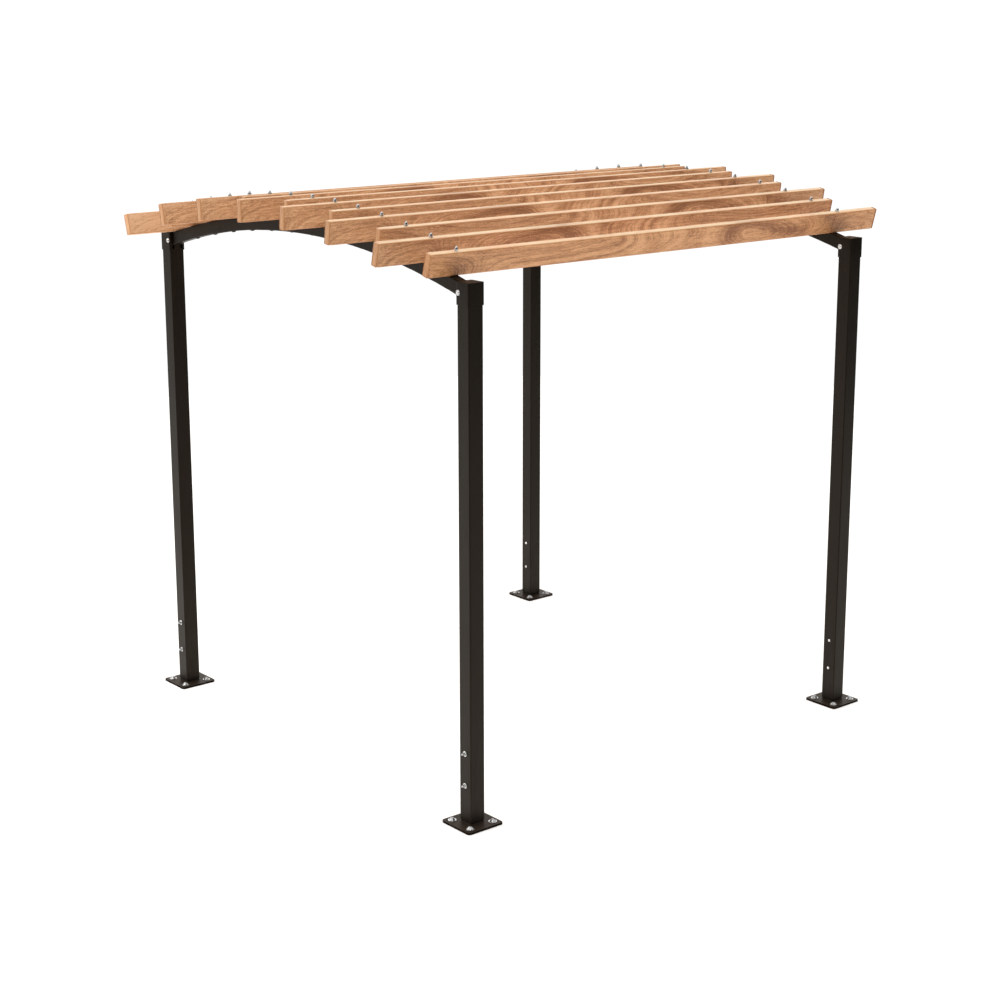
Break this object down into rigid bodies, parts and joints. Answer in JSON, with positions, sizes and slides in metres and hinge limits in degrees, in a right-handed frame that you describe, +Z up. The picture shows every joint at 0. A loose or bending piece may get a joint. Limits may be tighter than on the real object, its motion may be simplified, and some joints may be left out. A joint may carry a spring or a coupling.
{
  "type": "pergola",
  "caption": "Free-standing pergola with square steel posts on bolted foot plates, two curved steel roof beams and wooden slats laid radially across them.",
  "frame": {"origin": "on the ground at the middle of the four posts", "axes": "+X along the slats, towards the right; +Y along the curved beams, towards the back; +Z up"},
  "size_m": [3.038, 2.652, 2.7238],
  "materials": {
    "steel": "dark bronze satin powder coat",
    "timber": "light brown hardwood, oiled",
    "fastener": "bright zinc-plated steel"
  },
  "bodies": {
    "root": {"foot_plate_front_left": "steel", "foot_plate_front_right": "steel", "foot_plate_back_left": "steel", "foot_plate_back_right": "steel", "spigot_front_left": "steel", "spigot_front_right": "steel", "spigot_back_left": "steel", "spigot_back_right": "steel", "post_front_left": "steel", "post_front_right": "steel", "post_back_left": "steel", "post_back_right": "steel", "cap_front_left": "steel", "cap_front_right": "steel", "cap_back_left": "steel", "cap_back_right": "steel", "beam_left": "steel", "beam_right": "steel", "slat_01": "timber", "slat_02": "timber", "slat_03": "timber", "slat_04": "timber", "slat_05": "timber", "slat_06": "timber", "slat_07": "timber", "slat_08": "timber", "slat_09": "timber", "slat_10": "timber", "slat_11": "timber", "slat_12": "timber", "slat_13": "timber", "slat_14": "timber"}
  },
  "joints": []
}
